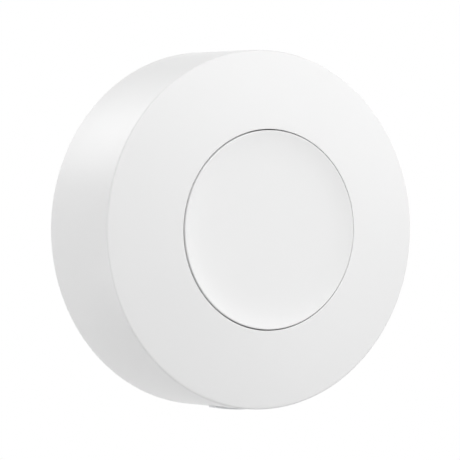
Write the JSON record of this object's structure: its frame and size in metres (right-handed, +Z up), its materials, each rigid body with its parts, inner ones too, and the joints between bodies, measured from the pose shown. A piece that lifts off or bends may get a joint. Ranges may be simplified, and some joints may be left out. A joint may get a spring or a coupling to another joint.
{
  "type": "smart button",
  "caption": "Round wall-mounted wireless push button: crowned puck housing with a dished press cap, a status-light bar in the rim, a coin cell inside and a twist-off stick-on base.",
  "frame": {"origin": "centre of the adhesive pad's outer face, where the button meets the wall", "axes": "+Y points into the wall, along the button's axis and the way it is pressed; -Y is the front; +Z is up; +X is to the right of someone facing the front"},
  "size_m": [0.04, 0.0143, 0.0402],
  "materials": {
    "housing_white": "fine matte moulded",
    "button_white": "fine matte moulded",
    "silicone_grey": "soft moulded",
    "window_frosted": "frosted translucent",
    "board_green": "solder mask",
    "switch_black": "moulded",
    "dome_steel": "bright sheet",
    "plunger_cream": "moulded",
    "frame_steel": "stamped sheet",
    "terminal_tin": "tinned",
    "chip_black": "moulded resin",
    "crystal_lid": "plated lid",
    "capacitor_amber": "moulded resin",
    "capacitor_tan": "fired ceramic",
    "resistor_black": "glazed",
    "antenna_ceramic": "fired ceramic",
    "led_resin": "clear resin",
    "contact_gold": "flash-plated spring sheet",
    "carrier_black": "moulded",
    "screw_steel": "zinc plated",
    "cell_steel": "nickel-plated sheet",
    "gasket_black": "moulded",
    "cell_core_grey": "pressed powder",
    "foam_dark": "closed-cell foam",
    "base_white": "moulded",
    "adhesive_foam": "foam tape with paper liner"
  },
  "bodies": {
    "base": {"base_plate": "base_white", "adhesive_pad": "adhesive_foam", "cell_pad": "foam_dark"},
    "housing": {"front_housing": "housing_white", "return_ring": "silicone_grey", "status_window": "window_frosted", "circuit_board": "board_green", "switch_base": "switch_black", "switch_dome": "dome_steel", "switch_frame": "frame_steel", "switch_terminals": "terminal_tin", "radio_chip": "chip_black", "crystal": "crystal_lid", "bulk_capacitor": "capacitor_amber", "chip_capacitors": "capacitor_tan", "chip_resistors": "resistor_black", "chip_antenna": "antenna_ceramic", "status_led": "led_resin", "positive_contact": "contact_gold", "negative_contact": "contact_gold", "cell_carrier": "carrier_black", "carrier_screws": "screw_steel", "cell_can": "cell_steel", "cell_gasket": "gasket_black", "cell_cap": "cell_steel", "cell_core": "cell_core_grey"},
    "button": {"button_cap": "button_white"},
    "plunger": {"switch_plunger": "plunger_cream"}
  },
  "joints": [
    {"name": "housing_turn", "type": "hinge", "parent": "base", "child": "housing", "pos_m": [0, 0, 0], "axis": [0, -1, 0], "range_deg": [0, 28]},
    {"name": "button_press", "type": "slide", "parent": "housing", "child": "button", "axis": [0, 1, 0], "range_m": [0, 0.0005], "stiffness_N_per_m": 2000, "springref_m": -0.0003, "deforming": ["return_ring", "switch_dome"]},
    {"name": "plunger_press", "type": "slide", "parent": "housing", "child": "plunger", "axis": [0, 1, 0], "range_m": [0, 0.0006]}
  ],
  "couplings": [
    {"joint": "plunger_press", "follows": "button_press", "ratio": 1}
  ]
}
